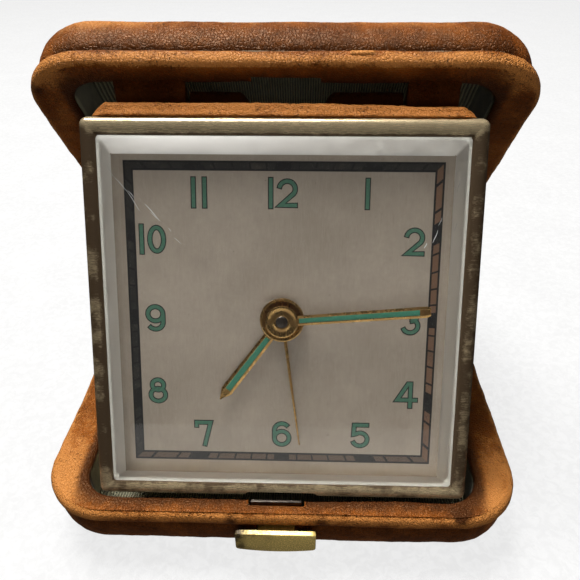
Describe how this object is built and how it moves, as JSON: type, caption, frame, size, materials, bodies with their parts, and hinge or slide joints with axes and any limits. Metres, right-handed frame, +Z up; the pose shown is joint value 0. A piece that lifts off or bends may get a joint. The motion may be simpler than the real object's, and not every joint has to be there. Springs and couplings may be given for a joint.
{
  "type": "travel alarm clock",
  "caption": "Folding travel alarm clock: square brass clock hinged in the lid of a tan leather case, standing open as a tent, with bevelled crystal, hands, wound movement and push latch.",
  "frame": {"origin": "centre of the case base's resting face, on the surface it stands on", "axes": "+X to the right facing the dial, -Y towards the viewer, +Z up"},
  "size_m": [0.08, 0.0863, 0.0795],
  "materials": {
    "leather": "worn grained tan leather",
    "board": "moulded board",
    "lining": "ribbed olive fabric",
    "steel": "plain",
    "dark_steel": "blackened",
    "spring_steel": "blued",
    "brass": "plain",
    "aged_brass": "aged, worn bright on the edges",
    "glass": "clear, bevelled, scratched",
    "dial_silver": "satin silvered",
    "lume": "aged luminous paint"
  },
  "bodies": {
    "case_base": {"base_leather": "leather", "base_board": "board", "base_lining": "lining", "base_spine_leaf": "steel", "spine_pin": "steel", "latch_spring": "spring_steel"},
    "latch": {"latch_button": "aged_brass"},
    "lid": {"lid_leather": "leather", "lid_board": "board", "lid_lining": "lining", "lid_spine_leaf": "steel", "lid_strike": "dark_steel", "clock_hinge_bracket": "leather", "clock_hinge_pin": "steel"},
    "clock": {"clock_hinge_flap": "leather", "top_leather_strip": "leather", "bezel": "aged_brass", "crystal_retainer": "dial_silver", "crystal": "glass", "dial": "dial_silver", "clock_case": "aged_brass", "case_back": "brass", "case_back_screws": "steel", "front_plate": "brass", "back_plate": "brass", "plate_pillars": "brass", "time_mainspring": "spring_steel", "alarm_mainspring": "spring_steel", "hairspring": "spring_steel", "ratchet_clicks": "steel"},
    "minute_arbor": {"centre_wheel": "brass", "cannon_pinion": "brass", "minute_hand": "brass", "minute_hand_lume": "lume", "hand_setting_knob": "brass"},
    "hour_wheel": {"hour_wheel": "brass", "hour_hand": "brass", "hour_hand_lume": "lume"},
    "minute_wheel": {"minute_wheel": "brass"},
    "time_barrel": {"time_barrel": "brass"},
    "third_wheel": {"third_wheel": "brass"},
    "fourth_wheel": {"fourth_wheel": "brass"},
    "escape_wheel": {"escape_wheel": "brass"},
    "pallet_lever": {"pallet_lever": "steel"},
    "balance": {"balance_wheel": "brass"},
    "time_winder": {"time_winding_arbor": "steel", "time_ratchet_wheel": "steel", "time_winding_key": "brass"},
    "alarm_winder": {"alarm_winding_arbor": "steel", "alarm_ratchet_wheel": "steel", "alarm_winding_key": "brass"},
    "alarm_barrel": {"alarm_barrel": "brass"},
    "alarm_star": {"alarm_star_wheel": "brass"},
    "alarm_hammer": {"alarm_hammer": "steel"},
    "alarm_setting": {"alarm_setting_arbor": "brass", "alarm_setting_knob": "brass"},
    "alarm_hand": {"alarm_wheel": "brass", "alarm_hand": "brass"},
    "alarm_stop": {"alarm_stop_button": "brass"},
    "regulator": {"regulator_lever": "brass"}
  },
  "joints": [
    {"name": "spine_hinge", "type": "hinge", "parent": "case_base", "child": "lid", "pos_m": [0, 0.039, 0.013], "axis": [-1, 0, 0], "range_deg": [0, 120]},
    {"name": "clock_hinge", "type": "hinge", "parent": "lid", "child": "clock", "pos_m": [0.0003, -0.00541, 0.06684], "axis": [1, 0, 0], "range_deg": [0, 61.6]},
    {"name": "latch_press", "type": "slide", "parent": "case_base", "child": "latch", "axis": [0, 1, 0], "range_m": [0, 0.0008], "stiffness_N_per_m": 800, "springref_m": -0.001},
    {"name": "hands_drive", "type": "hinge", "parent": "clock", "child": "minute_arbor", "pos_m": [0.0003, -0.01718, 0.03696], "axis": [0, -0.9184, 0.3955], "continuous": true},
    {"name": "hour_wheel_spin", "type": "hinge", "parent": "clock", "child": "hour_wheel", "pos_m": [0.0003, -0.01994, 0.03814], "axis": [0, -0.9184, 0.3955], "continuous": true},
    {"name": "minute_wheel_spin", "type": "hinge", "parent": "clock", "child": "minute_wheel", "pos_m": [0.00597, -0.01942, 0.03683], "axis": [0, -0.9184, 0.3955], "continuous": true},
    {"name": "time_barrel_spin", "type": "hinge", "parent": "clock", "child": "time_barrel", "pos_m": [-0.00707, -0.01739, 0.03143], "axis": [0, -0.9184, 0.3955], "continuous": true},
    {"name": "third_wheel_spin", "type": "hinge", "parent": "clock", "child": "third_wheel", "pos_m": [0.00404, -0.0137, 0.04251], "axis": [0, -0.9184, 0.3955], "continuous": true},
    {"name": "fourth_wheel_spin", "type": "hinge", "parent": "clock", "child": "fourth_wheel", "pos_m": [0.01007, -0.01321, 0.04114], "axis": [0, -0.9184, 0.3955], "continuous": true},
    {"name": "escape_wheel_spin", "type": "hinge", "parent": "clock", "child": "escape_wheel", "pos_m": [0.01152, -0.01535, 0.03616], "axis": [0, -0.9184, 0.3955], "continuous": true},
    {"name": "pallet_swing", "type": "hinge", "parent": "clock", "child": "pallet_lever", "pos_m": [0.01279, -0.01832, 0.03229], "axis": [0, -0.9184, 0.3955], "range_deg": [-5, 5]},
    {"name": "balance_swing", "type": "hinge", "parent": "clock", "child": "balance", "pos_m": [0.009, -0.01945, 0.02689], "axis": [0, -0.9184, 0.3955], "range_deg": [-135, 135], "stiffness_Nm_per_rad": 0.000002},
    {"name": "time_winding", "type": "hinge", "parent": "clock", "child": "time_winder", "pos_m": [-0.00707, -0.01463, 0.03024], "axis": [0, -0.9184, 0.3955], "continuous": true},
    {"name": "alarm_winding", "type": "hinge", "parent": "clock", "child": "alarm_winder", "pos_m": [-0.0112, -0.00824, 0.04508], "axis": [0, -0.9184, 0.3955], "continuous": true},
    {"name": "alarm_barrel_spin", "type": "hinge", "parent": "clock", "child": "alarm_barrel", "pos_m": [-0.0112, -0.011, 0.04627], "axis": [0, -0.9184, 0.3955], "continuous": true},
    {"name": "alarm_star_spin", "type": "hinge", "parent": "clock", "child": "alarm_star", "pos_m": [-0.00368, -0.01047, 0.04902], "axis": [0, -0.9184, 0.3955], "continuous": true},
    {"name": "hammer_swing", "type": "hinge", "parent": "clock", "child": "alarm_hammer", "pos_m": [0.0031, -0.00953, 0.05119], "axis": [0, -0.9184, 0.3955], "range_deg": [-6, 6]},
    {"name": "alarm_setting", "type": "hinge", "parent": "clock", "child": "alarm_setting", "pos_m": [-0.00355, -0.01271, 0.04229], "axis": [0, -0.9184, 0.3955], "continuous": true},
    {"name": "alarm_hand_turn", "type": "hinge", "parent": "clock", "child": "alarm_hand", "pos_m": [0.0003, -0.02086, 0.03854], "axis": [0, -0.9184, 0.3955], "continuous": true},
    {"name": "alarm_stop_press", "type": "slide", "parent": "clock", "child": "alarm_stop", "axis": [0, -0.9184, 0.3955], "range_m": [0, 0.0012], "stiffness_N_per_m": 400, "springref_m": -0.0015},
    {"name": "regulator_adjust", "type": "hinge", "parent": "clock", "child": "regulator", "pos_m": [0.009, -0.0166, 0.02566], "axis": [0, -0.9184, 0.3955], "range_deg": [-20, 20]}
  ],
  "couplings": [
    {"joint": "hour_wheel_spin", "follows": "hands_drive", "ratio": 0.083333},
    {"joint": "minute_wheel_spin", "follows": "hands_drive", "ratio": -0.33333},
    {"joint": "time_barrel_spin", "follows": "hands_drive", "ratio": -0.125},
    {"joint": "third_wheel_spin", "follows": "hands_drive", "ratio": -7.5},
    {"joint": "fourth_wheel_spin", "follows": "hands_drive", "ratio": 60},
    {"joint": "escape_wheel_spin", "follows": "hands_drive", "ratio": -600},
    {"joint": "alarm_star_spin", "follows": "alarm_barrel_spin", "ratio": -7},
    {"joint": "alarm_hand_turn", "follows": "alarm_setting", "ratio": -0.4}
  ]
}
